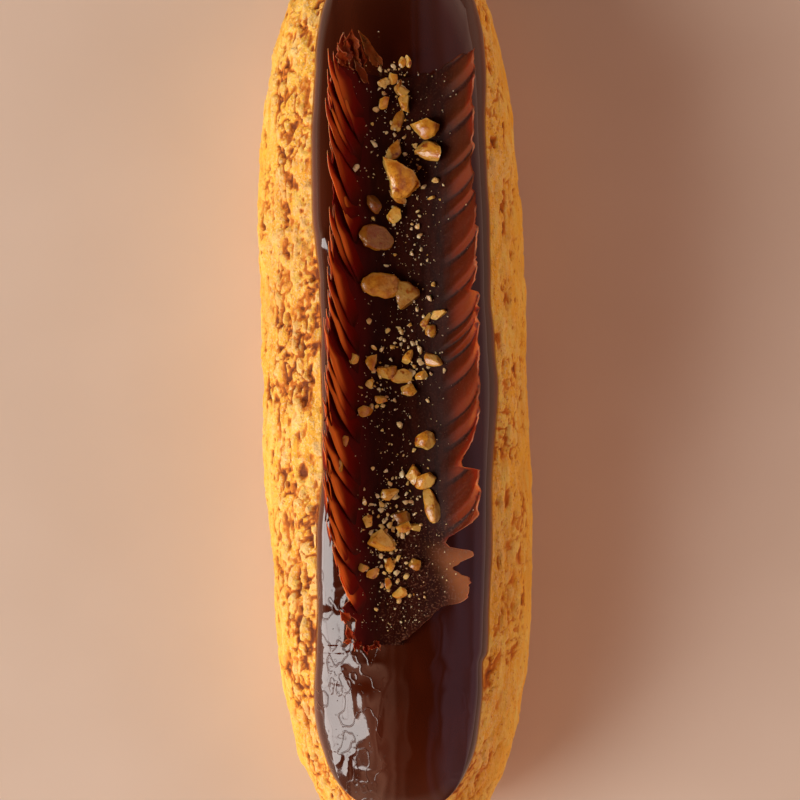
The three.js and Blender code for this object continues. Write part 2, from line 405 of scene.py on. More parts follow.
def curl_finish():
    """Thin shaved chocolate, dark where it is thick, dusty where bloomed, with painted light: a painted glow,
    deep red then orange, where light comes through, painted highlights on thin rims and lit faces, and
    painted shade in creases.
    """
    finish = Finish("shaved_chocolate", 0.45, Subsurface_Weight=0.4, Subsurface_Scale=0.0005)
    finish.shader.inputs["Subsurface Radius"].default_value = (1.0, 0.3, 0.08)
    finish.shader.inputs["Specular IOR Level"].default_value = 0.06
    drag = finish.noise(1.1, 3, (1, 5, 1))
    speckle = finish.noise(0.34, 2, (1, 1, 1), 0.6)
    dark = finish.mix(finish.ramp(drag, 0.3, 0.7), srgb(40, 13, 7), srgb(56, 20, 11))
    # painted light: a glow, deep red then orange, where light would come through the thin chocolate
    red = finish.mix(finish.ramp(finish.layer("glow"), 0.0, 0.42), dark, srgb(110, 12, 4))
    orange = finish.mix(finish.ramp(finish.layer("glow"), 0.38, 1.0), red, srgb(242, 120, 44))
    # dusty bloom, with painted highlights on lit faces and painted shade in creases
    dusty_and_lit = finish.mix(finish.layer("bloom_and_light"), orange, srgb(124, 66, 24))
    pitted = finish.math("MULTIPLY", finish.ramp(speckle, 0.55, 0.64), finish.layer("pitted"))
    marked = finish.mix(pitted, dusty_and_lit, srgb(104, 66, 48))
    # painted highlight: pale thin rims
    finish.colour(finish.mix(finish.layer("edge"), marked, srgb(214, 146, 106)))
    finish.rough(finish.layer("bloom_and_light"), 0.42, 0.68)
    finish.bumps((drag, 0.05), (speckle, 0.03))
    return finish.material


def nut_finish():
    """Roasted hazelnut: amber outside, cream where it was cut, with scorched patches."""
    finish = Finish("roasted_nuts", 0.24, Subsurface_Weight=0.3, Subsurface_Scale=0.0012, Coat_Weight=0.45)
    finish.shader.inputs["Subsurface Radius"].default_value = (1.0, 0.6, 0.25)
    tone = finish.noise(1.6, 3)
    grain = finish.noise(0.4, 3)
    amber = finish.mix(finish.ramp(tone, 0.35, 0.7), srgb(244, 178, 56), srgb(200, 116, 24))
    cream = finish.mix(finish.ramp(tone, 0.4, 0.7), srgb(250, 206, 106), srgb(238, 172, 60))
    body = finish.mix(finish.layer("cut"), amber, cream)
    roasted = finish.mix(finish.layer("roast"), body, srgb(104, 46, 8))
    scorched = finish.mix(finish.ramp(finish.noise(1.2, 2), 0.56, 0.74), roasted, srgb(150, 70, 14))
    powdery = finish.mix(finish.layer("pale"), scorched, srgb(250, 232, 186))
    finish.colour(finish.mix(finish.ramp(grain, 0.6, 0.8), powdery, srgb(150, 84, 26)))
    finish.bumps((tone, 0.12), (grain, 0.08))
    return finish.material


# ---- Choux skin ----

SKIN_ROWS = 640
SKIN_COLUMNS = 155
# Depths of the crust's relief.
BARK_DEPTH = 0.11
PLATE_DEPTH = 0.34
CRACK_DEPTH = 0.32
PIT_DEPTH = 0.7
DOT_DEPTH = 0.4
CRUMB_DEPTH = 0.42
# Colour layers of the crust: painted shade in hollows and cracks, painted highlight on raised flakes,
# browning towards the base with painted shade in broad dips, and where the crust is rough.
CRUST_LAYERS = ("cavity_shade", "flake_highlight", "toast_and_shade", "crumbly")


def spread(weights, values, count):
    """count values, closer together where weights are large."""
    run = np.concatenate([[0], np.cumsum((weights[1:] + weights[:-1]) / 2)])
    return np.interp(np.linspace(0, run[-1], count), run, values)


def bun_points(y, angle):
    """Points of the smooth bun. The angle is 0 at the widest line on the +X side and turns upwards."""
    along, up = np.cos(angle), np.sin(angle)
    power = 2 / np.where(up > 0, CROWN_SECTION_POWER, BELLY_SECTION_POWER)
    reach = np.where(up > 0, BUN_TOP_Z - BUN_WIDEST_Z, BUN_BELLY_DEPTH) * bun_fullness(y)
    x = bun_centre_x(y) + bun_half_width(y) * signed_power(along, power)
    z = BUN_WIDEST_Z + reach * signed_power(up, power)
    return spot(x, y, np.maximum(z, 0))


def skin_rows():
    """Places of the rings along the bun, evenly spaced round its plan outline."""
    y = BUN_HALF_LENGTH * np.cos(np.linspace(0, math.pi, 4001))
    width = bun_half_width(y)
    length = np.hypot(np.gradient(y), np.gradient(width))
    return spread(length, y, SKIN_ROWS + 2)[1:-1]


def skin_angles():
    """Angles round a ring: closest where the camera sees crust, wider under the glaze, widest on the base."""
    angle = np.linspace(0, 2 * math.pi, 4001)
    ring = bun_points(np.zeros_like(angle), angle)
    length = np.linalg.norm(np.gradient(ring, axis=0), axis=-1)
    covered = smoothstep(12 - np.abs(ring[:, 0] - GLAZE_SIDE_SHIFT), 0, 1.5) * (ring[:, 2] > BUN_WIDEST_Z)
    seen_from_above = (ring[:, 2] > BUN_WIDEST_Z) * (1 - covered)
    weight = 1 + 0.7 * seen_from_above - 0.4 * covered - 0.88 * (ring[:, 2] < 0.01)
    return spread(length * weight, angle, SKIN_COLUMNS + 1)[:-1]


def crust(points):
    """Height of the baked crust's relief, and each point's value for each of the crust's layers: painted
    shade in low places and cracks, painted highlight on raised flakes, browning towards the base with some
    painted shade, and roughness.
    """
    swell = 0.5 * noise(points, (8, 14, 8), 11) + 0.34 * noise(points, (3.0, 5, 3.0), 12)
    bark = noise(warp(points, 2.5, 0.7, 13), (1.3, 3.2, 1.3), 16)
    moved = warp(warp(points, 2.8, 1.0, 21), 0.9, 0.35, 24)
    nearest, second, owner = scatter(moved, (1.9, 4.2, 1.9), 31)
    gap = second - nearest
    plate = smoothstep(gap, 0.02, 0.35) * owner
    broken = smoothstep(noise(points, (3.5, 8, 3.5), 41), -0.3, 0.3)
    crack = (1 - smoothstep(gap, 0.0, 0.2)) * broken
    pit_near, _, pit_owner = scatter(warp(points, 1.0, 0.4, 51), (1.25, 5.0, 1.25), 61)
    pit_size = 0.14 + 0.36 * pit_owner
    pit = (1 - smoothstep(pit_near, pit_size * 0.4, pit_size)) * (pit_owner > 0.86)
    hollow = smoothstep(noise(warp(points, 1.6, 0.7, 55), (1.1, 3.6, 1.1), 58), 0.34, 0.72)
    pit = np.maximum(pit, hollow * smoothstep(noise(points, (4, 9, 4), 59), 0.0, 0.4))
    dot_near, _, dot_owner = scatter(points, (1.4, 2.2, 1.4), 65)
    dot = (1 - smoothstep(dot_near, 0.12, 0.32)) * (dot_owner > 0.72)
    crumb = 0.6 * noise(points, (0.85, 2.0, 0.85), 71) + 0.4 * noise(points, (0.5, 0.8, 0.5), 72)
    high = smoothstep(points[..., 2], BUN_WIDEST_Z - 4, BUN_WIDEST_Z + 11)
    beside_glaze = smoothstep(points[..., 2], BUN_WIDEST_Z + 5, BUN_WIDEST_Z + 11)
    patchy = smoothstep(noise(points, (5, 12, 5), 73), -0.6, 0.3)
    smoother = 0.5 * smoothstep(points[..., 0], 4, 12)  # the +X flank is the calmer one
    rough = (0.25 + 0.5 * patchy + 0.5 * beside_glaze) * (0.3 + 0.7 * high) * (1 - smoother)
    depth = (0.4 + 0.6 * high) * (1 - 0.7 * smoother)
    relief = (
        swell
        + BARK_DEPTH * bark
        + PLATE_DEPTH * plate * depth
        - CRACK_DEPTH * crack * depth
        - PIT_DEPTH * pit * depth
        - DOT_DEPTH * dot * depth
        + CRUMB_DEPTH * crumb * rough
    )
    # painted shade: darker where the bark and crumb relief is low, and in cracks, pits and dots
    shade = 0.4 * smoothstep(-bark, 0.15, 0.8) + 0.55 * rough * smoothstep(-crumb, 0.1, 0.6)
    hole = np.maximum(np.maximum(0.8 * crack, pit), 0.9 * dot)
    cavity_shade = clamp01((hole + shade) * depth)
    # painted highlight: paler where crumbs, plates and bark stand up
    flake_highlight = smoothstep(crumb + 0.6 * plate + 0.4 * bark, 0.3, 0.85) * rough * (1 - cavity_shade)
    # browner towards the base from baking, plus painted shade in the low parts of the broad swells
    toast_and_shade = 0.75 * (1 - smoothstep(points[..., 2], 0.5, 5.5)) + 0.2 * smoothstep(swell, 0.2, -0.5)
    return relief, [cavity_shade, clamp01(flake_highlight), clamp01(toast_and_shade), clamp01(rough)]


def make_skin(material):
    y = skin_rows()[:, None]
    smooth = bun_points(y, skin_angles()[None, :])
    normals = grid_normals(smooth, wrap=True)
    relief, shades = crust(smooth)
    x, z = smooth[..., 0], smooth[..., 2]
    bare = np.abs(x - glaze_centre_x(y)) - glaze_half_width(y)
    clear = np.where(z > BUN_WIDEST_Z, smoothstep(bare, -0.6, 1.2), 1)
    clear = clear * smoothstep(z, 0.0, 1.2)
    skin = smooth + normals * (relief * clear)[..., None]
    skin[..., 2] = np.where(z < 0.01, 0, np.maximum(skin[..., 2], 0))
    tips = [[bun_centre_x(end), end, BUN_WIDEST_Z] for end in (BUN_HALF_LENGTH, -BUN_HALF_LENGTH)]
    points = np.concatenate([[tips[0]], skin.reshape(-1, 3), [tips[1]]])
    body = grid_faces(SKIN_ROWS, SKIN_COLUMNS, 1, wrap=True).tolist()
    last = len(points) - 1
    for j in range(SKIN_COLUMNS):
        k = (j + 1) % SKIN_COLUMNS
        body.append([0, 1 + j, 1 + k])
        body.append([last, last - SKIN_COLUMNS + k, last - SKIN_COLUMNS + j])
    capped = [np.concatenate([[0], values.ravel(), [0]]) for values in shades]
    layers = dict(zip(CRUST_LAYERS, capped))
    piece = make_piece("choux_skin", points, body, material, layers)
    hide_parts("choux_bun")
    return piece


# ---- Glaze coat ----

COAT_ROWS = 560
COAT_COLUMNS = 81
COAT_EDGE_POWER = 12.0  # a narrower round lip than the solid's
EDGE_DROP = 0.45  # the lip comes down past the gap under the glaze and touches the crust
RIM_SWELL = 1.9  # extra thickness at the long edges
CREASE_HEIGHT = 0.18
CRINKLE_HEIGHT = 0.14
BEAD_HEIGHT = 0.1  # of a raised line along the left lip
DROP_HEIGHT = 0.3  # of a small drop on that lip
DROP_Y = 23.4


def coat_outline(y, side):
    """How far the glaze's edge stands out from its regular outline."""
    line = spot(10 * side, y)
    wave = 0.35 * noise(line, 13, 81) + 0.14 * noise(line, 4.5, 82)
    bulge = 1.0 * np.exp(-(((y + 1) / 9) ** 2)) if side > 0 else 0.5 * np.exp(-(((y - 33) / 16) ** 2))
    notch = 0.7 * smoothstep(-y, 42.6, 44.4) * (side > 0)
    return wave + bulge - notch


def make_coat(material):
    y = GLAZE_CENTRE_Y + GLAZE_HALF_LENGTH * np.cos(np.linspace(0, math.pi, COAT_ROWS))[:, None]
    across = np.sin(np.linspace(-math.pi / 2, math.pi / 2, COAT_COLUMNS))[None, :]
    full = glaze_half_width(y) / GLAZE_HALF_WIDTH
    left, right = coat_outline(y[:, 0], -1)[:, None], coat_outline(y[:, 0], 1)[:, None]
    stand = np.where(across < 0, -left, right) * np.abs(across) ** 6 * full
    x = glaze_centre_x(y) + glaze_half_width(y) * across + stand
    along = glaze_along(y)
    edge = np.maximum(np.abs(across), np.abs(along))
    body = round_off(edge, COAT_EDGE_POWER, 2)
    plan = spot(x, y)
    lowland = smoothstep(-y, 26, 36)
    wave = 0.085 * noise(plan, (5.5, 26, 1), 91) + 0.03 * noise(plan, (2.6, 12, 1), 92)
    creased = 1 - np.abs(noise(warp(plan, 5, 1.4, 93), (5.0, 8.0, 1), 96))
    wrinkle = CREASE_HEIGHT * creased**4 + CRINKLE_HEIGHT * noise(plan, (3.2, 4.2, 1), 97)
    wrinkle = lowland * (0.25 + 0.75 * smoothstep(-x, 1, 5)) * wrinkle
    seat = crown_z(x, y) + SEAT_GAP
    bead_run = smoothstep(y, -38, -30) * (1 - smoothstep(y, 0, 8))
    bead = np.exp(-(((across + 0.94) / 0.05) ** 2)) * BEAD_HEIGHT * bead_run
    bead = bead + DROP_HEIGHT * np.exp(-(((across + 0.9) / 0.05) ** 2) - ((y - DROP_Y) / 0.9) ** 2)
    fuller = RIM_SWELL * np.abs(across) ** 5 * (1 - 0.6 * smoothstep(np.abs(along), 0.75, 0.98))
    rise = (GLAZE_THICKNESS + fuller) * body + (wave + wrinkle) * body + bead * full
    upper = spot(x, y, seat + rise - EDGE_DROP * (1 - body))
    lower = spot(x, y, seat - 0.1 - EDGE_DROP * smoothstep(edge, 0.85, 1.0))
    upper[..., 2] = np.maximum(upper[..., 2], lower[..., 2] + 0.02)
    points, faces = slab(upper, lower)
    thin = 0.7 * smoothstep(np.abs(across), 0.93, 1.0)
    layers = {"thin": twice(thin + 0 * x), "wrinkled": twice(lowland * smoothstep(-x, 1, 6))}
    piece = make_piece("glaze_coat", points, faces[:, ::-1], material, layers)
    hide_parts("chocolate_glaze")
    return piece


# ---- Chocolate curl ----

CURL_ROWS = 430
CURL_COLUMNS = 110
CURL_LOW_Y = -41.2
SCALLOP_SPACING = 4.7
SCALLOP_CLIMB = 8.5  # how steeply a crease climbs towards +Y
SCALLOP_FROM = 0.3  # share of the wall at which it starts to climb
SCALLOP_HEIGHT = 0.7
OPENED_FROM_Y = -18.0  # from here to the foot the right wall lies flatter
# The walls thicken from their rims, and the floor once more, so that it stands on the glaze.
EDGE_THICKNESS = 0.14
WALL_THICKNESS = 0.36
FLOOR_THICKNESS = 0.7
# The rims in plan, from the foot to the top: y and x.
LEFT_RIM = [
    (-41.5, -6.2), (-39.1, -6.4), (-37.1, -6.3), (-36.0, -7.8), (-35.1, -8.3), (-34.1, -7.4), (-32.1, -8.0),
    (-24.4, -9.9), (-20.9, -10.4), (-15.0, -10.8), (-2.4, -10.8), (15.0, -10.2), (27.6, -9.8),
    (45.0, -10.2), (53.0, -9.9),
]
RIGHT_RIM = [
    (-41.5, -1.5), (-40.1, 2.0), (-38.4, 3.8), (-36.2, 6.0), (-34.9, 7.6), (-34.5, 10.2), (-33.5, 11.3),
    (-31.9, 11.7), (-30.2, 11.3), (-29.2, 9.0), (-28.4, 9.6), (-26.9, 12.0), (-26.1, 11.8), (-25.7, 8.6),
    (-25.0, 7.6), (-24.1, 8.4), (-22.8, 10.5), (-21.7, 12.3), (-20.4, 13.2), (-13.3, 13.2), (-12.9, 10.6),
    (-12.0, 10.5), (-8.7, 12.2), (-4.0, 13.1), (14.6, 13.1), (15.0, 12.0), (16.4, 12.7), (28.2, 12.8),
    (30.6, 12.2), (47.8, 12.2), (54.0, 12.7),
]
TOP_EDGE = [(-1.0, 51.0), (-0.5, 49.2), (0.0, 48.4), (0.45, 49.6), (0.75, 51.5), (1.0, 53.2)]


def along(outline, place):
    """The second value of an outline's points at a place along the first."""
    spots = np.array(outline)
    return np.interp(place, spots[:, 0], spots[:, 1])


def wall_share(x):
    """How far up the wall a point in plan lies: -1 at the left rim, 0 on the floor, 1 at the right rim."""
    return np.arcsin(np.clip((x - CURL_CENTRE_X) / CURL_RADIUS, -1, 1)) / CURL_HALF_ANGLE


def wall_place(x, y):
    """Points of the smooth trough, also past the curl's ends, and the directions into it."""
    opened = smoothstep(OPENED_FROM_Y - y, 0, 12) * (x > CURL_CENTRE_X)
    radius = CURL_RADIUS * (1 + 0.9 * opened)
    turn = np.arcsin(np.clip((x - CURL_CENTRE_X) / radius, -1, 1))
    seat = crown_z(bun_centre_x(y), y) + 2 * SEAT_GAP + GLAZE_THICKNESS + CURL_THICKNESS
    return spot(x, y, seat + radius * (1 - np.cos(turn))), spot(-np.sin(turn), 0, np.cos(turn))


def make_curl(material):
    """The trough: a smooth floor, a plain left wall and a right wall pressed into soft scallops."""
    v = np.linspace(-1, 1, CURL_COLUMNS)[None, :]
    t = np.linspace(0, 1, CURL_ROWS)[:, None]
    top = along(TOP_EDGE, v) + 0.35 * noise(spot(8 * v, 0), 0.8, 103)
    y = top + (CURL_LOW_Y - top) * t
    line = spot(0, y)
    ragged = 1 + 4 * np.exp(-(((y + 29) / 4) ** 2))
    fray = (0.06 * noise(line, 1.1, 104) + 0.08 * noise(line, 0.4, 105)) * ragged
    left = along(LEFT_RIM, y) + fray
    right = along(RIGHT_RIM, y) + fray
    x = CURL_CENTRE_X + np.where(v < 0, CURL_CENTRE_X - left, right - CURL_CENTRE_X) * v
    share = wall_share(x)
    base, inward = wall_place(x, y)
    climb = 1 - np.sqrt(1 - np.clip((share - SCALLOP_FROM) / (1 - SCALLOP_FROM), 0, 0.985))
    flow = spot(0, y - SCALLOP_CLIMB * climb)
    number = flow[..., 1] / SCALLOP_SPACING + 0.6 * noise(flow, 8.1, 106) + 0.2 * noise(flow, 3.4, 107)
    rise = number - np.floor(number)
    cell = np.stack([np.floor(number).astype(np.int64)] * 3, axis=-1)
    strength = 0.35 + 0.65 * lattice(cell, 108)
    bulge = smoothstep(rise, 0, 0.42) * (1 - smoothstep(rise, 0.3, 1.0))
    on_right = smoothstep(share, 0.38, 0.72)
    lines = noise(spot(flow[..., 1], 3 * share), (0.55, 0.5, 1), 109)
    uneven = 0.1 * noise(base, (5, 8, 5), 110) + 0.03 * noise(base, (1.2, 3, 1.2), 111)
    grooved = on_right * (1 - smoothstep(OPENED_FROM_Y - y, 4, 9))
    height = SCALLOP_HEIGHT * bulge * strength * grooved + 0.03 * lines * grooved + uneven
    inner = base + inward * height[..., None]
    wall = 1 - smoothstep(np.abs(v), 0.5, 1.0)
    floor = 1 - smoothstep(np.abs(v), 0.1, 0.5)
    thickness = EDGE_THICKNESS + WALL_THICKNESS * wall + FLOOR_THICKNESS * floor
    outer = inner - inward * (thickness + 0 * share)[..., None]
    points, faces = slab(inner, outer)
    # painted shade: the crease mask darkens the scallops' creases
    crease = (1 - smoothstep(np.minimum(rise, 1 - rise), 0.0, 0.1)) * grooved * strength
    # painted glow along the right rim
    lip = smoothstep(v, 0.86, 1.0) * smoothstep(noise(line, 7, 112) + 0 * v, -0.5, 0.3)
    flat = smoothstep(OPENED_FROM_Y - y, 6, 10) * smoothstep(x + 0.5 * (y + 30), 5.5, 10.5)
    low = smoothstep(-y, 16, 30)
    # the painted glow fades towards the top end
    glow_fade = 1 - 0.5 * smoothstep(y, 26, 40)
    # painted highlight on the scallop faces turned towards the window
    lit = np.exp(-(((rise - 0.22) / 0.2) ** 2)) * smoothstep(share, 0.4, 0.9)
    # painted glow: deep red on the left wall, rust on the right wall's lit faces
    red = 0.24 * smoothstep(-share, 0.2, 0.6) + (0.16 + 0.3 * lit) * on_right * glow_fade * (1 - flat)
    rim = 1 - smoothstep(1 - np.abs(v), 0.001, 0.008)
    layers = {
        # painted glow, with painted shade in the creases
        "glow": twice(clamp01(red + 0.3 * lip * (1 - flat) - 0.7 * crease)),
        # dusty bloom on the right wall and flattened foot, with painted highlight on lit faces and painted
        # shade in creases
        "bloom_and_light": twice(clamp01(on_right * (0.16 + 0.36 * lit) - 0.7 * crease + 0.75 * flat)),
        "pitted": twice(clamp01(low * smoothstep(x, -3.5, -0.5) + 0.15 * smoothstep(-share, 0.2, -0.2))),
        # painted highlight on thin rims, and paler on the flattened foot
        "edge": twice(rim * (0.35 + 0.45 * noise(line, 1.7, 113)) + 0.18 * flat),
    }
    piece = make_piece("curl", points, faces[:, ::-1], material, layers)
    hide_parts("chocolate_curl")
    return piece


# ---- Leaves of the left wall ----

LEAF_ROWS = 64
LEAF_COLUMNS = 13
# The longest leaves of the left wall: y and x of each tip.
LEAF_TIPS = [
    (52.8, -10.7), (52.4, -9.9), (51.0, -9.2), (49.5, -10.8), (46.8, -10.7), (44.9, -11.1), (41.5, -10.6),
    (36.7, -10.8), (34.0, -9.7), (28.4, -9.7), (27.9, -10.5), (22.5, -10.6), (18.5, -10.8), (14.9, -10.7),
    (9.5, -11.1), (5.6, -10.8), (3.1, -11.0), (-2.4, -11.2), (-7.1, -11.2), (-10.5, -11.1), (-13.4, -11.3),
    (-17.5, -10.9), (-21.5, -10.5), (-25.0, -9.8), (-28.5, -9.0),
]
SLIVER_COUNT = 22


def leaf(tip_y, tip_x, length, reach, width, height, spread_power=2.1):
    """One long leaf. Its free edge runs down the rim from its tip, then turns onto the floor.

    reach is the share of the wall where it ends. The rest lies towards the upper right, under the leaf above.
    """
    t = np.linspace(0, 1, LEAF_ROWS)[:, None]
    c = np.linspace(0, 1, LEAF_COLUMNS)[None, :] ** 1.5
    start = wall_share(tip_x)
    edge_share = start + (reach - start) * t**spread_power
    edge_x = CURL_CENTRE_X + CURL_RADIUS * np.sin(edge_share * CURL_HALF_ANGLE)
    edge_y = tip_y - length * t
    run = np.stack([np.gradient(edge_x[:, 0]), np.gradient(edge_y[:, 0])], axis=-1)
    run = run / np.linalg.norm(run, axis=-1, keepdims=True)
    breadth = width * np.minimum(1, t / 0.36) ** 1.7 * np.sqrt(clamp01((1 - t) / 0.2))
    x = edge_x - run[:, 1:] * breadth * c
    y = edge_y + run[:, :1] * breadth * c
    base, inward = wall_place(x, y)
    fullness = breadth / width
    lift = smoothstep(t, 0.0, 0.5) * (1 - smoothstep(t, 0.7, 1.0))
    bow = (1 - c) ** 1.25 * (1 - 0.3 * np.exp(-((c / 0.1) ** 2)))
    wave = 0.05 * noise(spot(x, y), (0.9, 2.2, 1), 121) * fullness
    rise = 0.12 + height * lift * bow * fullness + wave - 0.3 * c * fullness - 0.25 * smoothstep(t, 0.8, 1.0)
    upper = base + inward * rise[..., None]
    lower = upper - inward * (0.08 + 0.25 * c * fullness)[..., None]
    return upper, lower, t + 0 * c, c + 0 * t


def tip_of(grid):
    """Where a leaf begins along the eclair, which tells the leaves apart."""
    return grid[0, 0, 1]


def make_leaves(material):
    """Overlapping shavings pushed up along the left wall, each with a thin edge where light comes through,
    painted as a glow and a highlight.
    """
    draw = np.random.default_rng(41)
    grids = []
    for tip_y, tip_x in LEAF_TIPS:
        crowded = smoothstep(-tip_y, 12, 30)
        length = draw.uniform(11.5, 15.5) - 4.5 * crowded
        reach = draw.uniform(-0.52, -0.40) - 0.04 * crowded
        width, height = draw.uniform(2.5, 3.5), draw.uniform(0.6, 1.05)
        bright = draw.uniform(0.35, 1.0)
        grids.append((*leaf(tip_y, tip_x, length, reach, width, height), bright))
    for _ in range(SLIVER_COUNT):
        tip_y = draw.uniform(-30, 53)
        tip_x = along(LEFT_RIM, tip_y) - draw.uniform(0.1, 1.0)
        length, width = draw.uniform(3.5, 8.5), draw.uniform(0.35, 0.8)
        reach = wall_share(tip_x) + draw.uniform(0.04, 0.14)
        sliver = leaf(tip_y, tip_x, length, reach, width, draw.uniform(0.35, 0.8))
        grids.append((*sliver, draw.uniform(0.4, 0.9)))
    points, faces, glow, edge = [], [], [], []
    count = 0
    for upper, lower, t, c, bright in grids:
        body, body_faces = slab(upper, lower)
        points.append(body)
        faces.append(body_faces + count)
        count += len(body)
        # the painted glow fades towards the top end
        glow_fade = 1 - 0.5 * smoothstep(tip_of(upper), 24, 42)
        # painted glow: a bright band along each leaf's free edge where light would come through
        band = np.exp(-((c / 0.3) ** 2)) * (1 - smoothstep(t, 0.4, 0.92)) * glow_fade
        streak = noise(spot(9 * c, 2.5 * t, tip_of(upper)), (0.9, 1, 1), 122)
        lit = 1.35 * bright * band * (0.7 + 0.3 * streak)
        glow.append(twice(0.42 - 0.32 * smoothstep(t, 0.55, 0.95) + lit))
        # painted highlight: a pale line along the free edge near the tip
        edge.append(twice((1 - smoothstep(c, 0.0, 0.03)) * (0.75 - 0.75 * smoothstep(t, 0.2, 0.5))))
    glow, edge = np.concatenate(glow), np.concatenate(edge)
    layers = {"glow": clamp01(glow), "edge": edge, "bloom_and_light": 0 * glow, "pitted": 0 * glow}
    piece = make_piece("curl_leaves", np.concatenate(points), np.concatenate(faces), material, layers)
    return piece


# ---- Loose shards of chocolate ----

SHARD_ROWS = 34
SHARD_COLUMNS = 22
# x, y, height over the trough, length, width, turn in degrees, tilt in degrees, bow, painted glow, and matt
# dustiness of each.
SHARDS = [
    (-7.1, 53.0, 1.2, 6.6, 3.2, 88, 30, 0.9, 0.3, 0.5), (-8.6, 51.9, 1.2, 3.6, 1.6, 107, 32, 0.6, 0.5, 0.3),
    (-8.0, 53.0, 1.0, 4.6, 2.2, 95, 26, 0.7, 0.45, 0.3),
    (-4.2, 53.1, 0.9, 5.8, 1.7, 122, 18, 0.6, 0.1, 1.0), (-5.8, 51.2, 0.6, 5.8, 2.6, 84, 20, 0.9, 0.2, 0.3),
    (-5.6, 49.6, 0.4, 4.2, 1.2, 118, 10, 0.5, 0.3, 0.5),
    (-8.1, -36.4, 0.5, 2.2, 1.5, 128, 30, 0.9, 0.55, 0.0),
    (-7.3, -39.0, 0.4, 2.6, 1.2, 108, 28, 0.9, 0.5, 0.0),
    (-6.2, -41.2, 0.3, 1.8, 1.3, 250, 30, 0.9, 0.45, 0.0),
    (-4.6, -41.8, 0.3, 1.7, 1.0, 280, 30, 0.9, 0.4, 0.1),
    (-2.8, -41.2, 0.3, 1.8, 0.8, 300, 20, 0.9, 0.3, 0.2),
    (-3.7, -41.5, 0.4, 1.2, 0.8, 200, 30, 0.9, 0.5, 0.0),
    (-7.6, -40.4, 0.3, 1.4, 0.9, 190, 30, 0.9, 0.6, 0.0),
]


def make_shards(material):
    """Small crumpled shavings: one group stands at the top left and another curls up along the foot."""
    u = np.linspace(-1, 1, SHARD_ROWS)[:, None]
    w = np.linspace(-1, 1, SHARD_COLUMNS)[None, :]
    points, faces, glow, bloom_and_light, edge = [], [], [], [], []
    count = 0
    for number, (x, y, above, length, width, turn, tilt, bow, red, matt) in enumerate(SHARDS):
        side = spot(4 * u + 9 * number, np.sign(w))
        jag = 1 + 0.3 * noise(side, 1.1, 131) + 0.16 * noise(side, 0.4, 132)
        along_it = u * length / 2 * (1 + 0.3 * noise(spot(4 * w + 9 * number, 0), 1, 133))
        across = w * width / 2 * jag * np.sqrt(1 - 0.75 * u**4) * (1 - 0.75 * smoothstep(u, 0.0, 1.0))
        crumple = 0.34 * noise(spot(along_it, across, number), (1.1, 0.8, 1), 134)
        lift = bow * (w**2 - 0.3 + 0.4 * u) * width / 4 + crumple
        a, b = math.radians(turn), math.radians(tilt)
        far = along_it * math.cos(b) - lift * math.sin(b)
        high = along_it * math.sin(b) + lift * math.cos(b)
        plan_x = x + far * math.cos(a) - across * math.sin(a)
        plan_y = y + far * math.sin(a) + across * math.cos(a)
        ground, _ = wall_place(x, y)
        upper = spot(plan_x, plan_y, ground[2] + above + high)
        lower = upper - grid_normals(upper) * 0.14
        body, body_faces = slab(upper, lower)
        points.append(body)
        faces.append(body_faces + count)
        count += len(body)
        rim = np.maximum(np.abs(w), np.abs(u))
        # painted glow: how much light each shard lets through
        glow.append(twice(red + 0 * rim))
        bloom_and_light.append(twice(matt + 0 * rim))
        # painted highlight along the ragged rims
        edge.append(twice(0.5 * smoothstep(rim, 0.94, 1.0) * smoothstep(noise(side, 2, 135), -0.4, 0.5)))
    values = [np.concatenate(parts) for parts in (glow, bloom_and_light, edge)]
    layers = {"glow": values[0], "bloom_and_light": values[1], "edge": values[2], "pitted": 0 * values[0]}
    piece = make_piece("curl_shards", np.concatenate(points), np.concatenate(faces), material, layers)
    return piece


# ---- Chopped nuts ----

